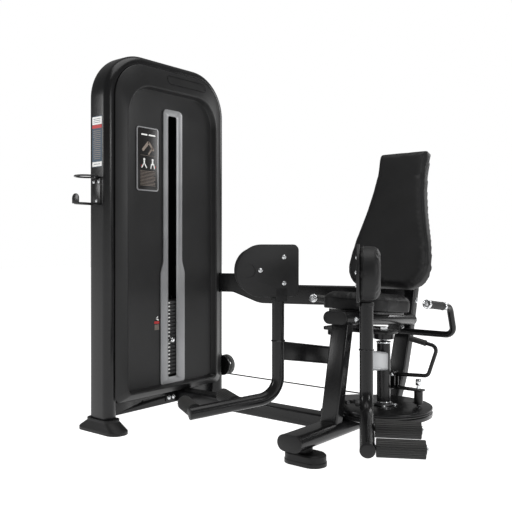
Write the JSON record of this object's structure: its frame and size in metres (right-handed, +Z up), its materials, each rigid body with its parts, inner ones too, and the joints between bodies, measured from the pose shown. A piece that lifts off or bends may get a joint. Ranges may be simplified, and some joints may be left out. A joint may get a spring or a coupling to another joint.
{
  "type": "hip abductor machine",
  "caption": "Seated inner and outer thigh machine: weight tower with covers and pin selector, seat frame, two swinging pad arms with foot rollers, cable and pulleys.",
  "frame": {"origin": "on the floor under the middle of the seat frame's front foot", "axes": "+Z up; -Y is the way the user faces; the weight tower stands at -X; +X is the user's left"},
  "size_m": [1.4794, 1.166, 1.51],
  "materials": {
    "powder_black": "satin black powder coat with a fine grain",
    "plastic_black": "moulded black plastic, satin",
    "panel_plastic": "vacuum formed cover, satin with a soft sheen",
    "placard_print": null,
    "silver_trim": "brushed and clear anodised",
    "silver_paint": "silver grey powder coat",
    "chrome": "polished chrome plate",
    "rubber": "ribbed black rubber, matt",
    "upholstery": "black synthetic leather with a fine grain",
    "nylon": "natural nylon, satin",
    "stack_steel": "black coated steel plates, ground edges",
    "cable_coat": "nylon coated steel cable"
  },
  "bodies": {
    "frame": {"tower_hoop": "powder_black", "tower_boot_front": "plastic_black", "tower_boot_rear": "plastic_black", "tower_base_beam": "powder_black", "seat_side_cover": "panel_plastic", "far_side_cover": "panel_plastic", "slot_trim": "silver_trim", "placard": "placard_print", "guide_rod_front": "chrome", "guide_rod_rear": "chrome", "stack_bumper": "rubber", "resting_plates": "stack_steel", "lift_cable": "cable_coat", "stack_cable": "cable_coat", "bottle_holder": "powder_black", "main_beam": "powder_black", "front_foot": "plastic_black", "rear_foot": "plastic_black", "floor_cross_beam": "powder_black", "front_leg": "powder_black", "rear_post": "powder_black", "seat_rail": "powder_black", "upper_link_beam": "powder_black", "seat_cushion": "upholstery", "back_cushion": "upholstery", "back_plate": "plastic_black", "handlebar": "powder_black", "left_grip": "rubber", "left_grip_cap": "chrome", "right_grip": "rubber", "right_grip_cap": "chrome", "top_bearing_plate": "powder_black"},
    "left_arm": {"left_pivot_tube": "powder_black", "left_arm_link": "silver_paint", "left_arm_tube": "powder_black", "left_pad_plate": "plastic_black", "left_pad_cushion": "upholstery", "left_timing_gear": "stack_steel", "lift_cam": "powder_black"},
    "right_arm": {"right_pivot_tube": "powder_black", "right_arm_link": "powder_black", "right_arm_tube": "powder_black", "right_pad_plate": "plastic_black", "right_pad_cushion": "upholstery", "right_timing_gear": "stack_steel"},
    "left_front_roller": {"left_front_roller": "rubber"},
    "left_rear_roller": {"left_rear_roller": "rubber"},
    "right_front_roller": {"right_front_roller": "rubber"},
    "right_rear_roller": {"right_rear_roller": "rubber"},
    "range_plunger": {"range_plunger": "chrome"},
    "range_lever": {"range_lever": "powder_black", "range_lever_grip": "rubber"},
    "lifted_stack": {"lifted_plates": "stack_steel", "stack_head_and_stem": "chrome"},
    "selector_pin": {"selector_pin": "chrome"},
    "outlet_pulley": {"outlet_pulley": "nylon"},
    "crossing_pulley": {"crossing_pulley": "nylon"},
    "low_pulley": {"low_pulley": "nylon"},
    "rear_top_pulley": {"rear_top_pulley": "nylon"},
    "front_top_pulley": {"front_top_pulley": "nylon"}
  },
  "joints": [
    {"name": "left_arm_swing", "type": "hinge", "parent": "frame", "child": "left_arm", "pos_m": [0.1, 0.357, 0.154], "axis": [0, 0, 1], "range_deg": [-30, 0]},
    {"name": "right_arm_swing", "type": "hinge", "parent": "frame", "child": "right_arm", "pos_m": [-0.1, 0.357, 0.154], "axis": [0, 0, 1], "range_deg": [0, 30]},
    {"name": "stack_lift", "type": "slide", "parent": "frame", "child": "lifted_stack", "axis": [0, 0, 1], "range_m": [0, 0.0906], "deforming": ["stack_cable"]},
    {"name": "selector_pin_pull", "type": "slide", "parent": "lifted_stack", "child": "selector_pin", "axis": [1, 0, 0], "range_m": [0, 0.07]},
    {"name": "outlet_pulley_turn", "type": "hinge", "parent": "frame", "child": "outlet_pulley", "pos_m": [-0.821, 0.529, 0.179], "axis": [0, 1, 0], "range_deg": [-123.9, 123.9]},
    {"name": "crossing_pulley_turn", "type": "hinge", "parent": "frame", "child": "crossing_pulley", "pos_m": [-0.863, 0.487, 0.262], "axis": [1, 0, 0], "range_deg": [-123.9, 123.9]},
    {"name": "low_pulley_turn", "type": "hinge", "parent": "frame", "child": "low_pulley", "pos_m": [-0.863, 0.385, 0.346], "axis": [1, 0, 0], "range_deg": [-123.9, 123.9]},
    {"name": "rear_top_pulley_turn", "type": "hinge", "parent": "frame", "child": "rear_top_pulley", "pos_m": [-0.863, 0.301, 1.38], "axis": [1, 0, 0], "range_deg": [-123.9, 123.9]},
    {"name": "front_top_pulley_turn", "type": "hinge", "parent": "frame", "child": "front_top_pulley", "pos_m": [-0.863, 0.197, 1.38], "axis": [1, 0, 0], "range_deg": [-123.9, 123.9]},
    {"name": "range_lever_lift", "type": "hinge", "parent": "left_arm", "child": "range_lever", "pos_m": [0.113, 0.413, 0.256], "axis": [0, 1, 0], "range_deg": [-12, 0]},
    {"name": "range_plunger_lift", "type": "slide", "parent": "left_arm", "child": "range_plunger", "axis": [0, 0, 1], "range_m": [0, 0.021]},
    {"name": "left_front_roller_spin", "type": "hinge", "parent": "left_arm", "child": "left_front_roller", "pos_m": [0.33886, -0.17447, 0.15267], "axis": [0.866, 0.5, 0], "continuous": true},
    {"name": "left_rear_roller_spin", "type": "hinge", "parent": "left_arm", "child": "left_rear_roller", "pos_m": [0.26296, -0.04617, 0.16939], "axis": [0.866, 0.5, 0], "continuous": true},
    {"name": "right_front_roller_spin", "type": "hinge", "parent": "right_arm", "child": "right_front_roller", "pos_m": [-0.33886, -0.17447, 0.15267], "axis": [-0.866, 0.5, 0], "continuous": true},
    {"name": "right_rear_roller_spin", "type": "hinge", "parent": "right_arm", "child": "right_rear_roller", "pos_m": [-0.26296, -0.04617, 0.16939], "axis": [-0.866, 0.5, 0], "continuous": true}
  ],
  "couplings": [
    {"joint": "right_arm_swing", "follows": "left_arm_swing", "ratio": -1},
    {"joint": "stack_lift", "follows": "left_arm_swing", "m_per_rad": -0.172},
    {"joint": "outlet_pulley_turn", "follows": "left_arm_swing", "ratio": 4.0952},
    {"joint": "crossing_pulley_turn", "follows": "left_arm_swing", "ratio": 4.0952},
    {"joint": "low_pulley_turn", "follows": "left_arm_swing", "ratio": -4.0952},
    {"joint": "rear_top_pulley_turn", "follows": "left_arm_swing", "ratio": 4.0952},
    {"joint": "front_top_pulley_turn", "follows": "left_arm_swing", "ratio": 4.0952},
    {"joint": "range_plunger_lift", "follows": "range_lever_lift", "m_per_rad": -0.099}
  ]
}
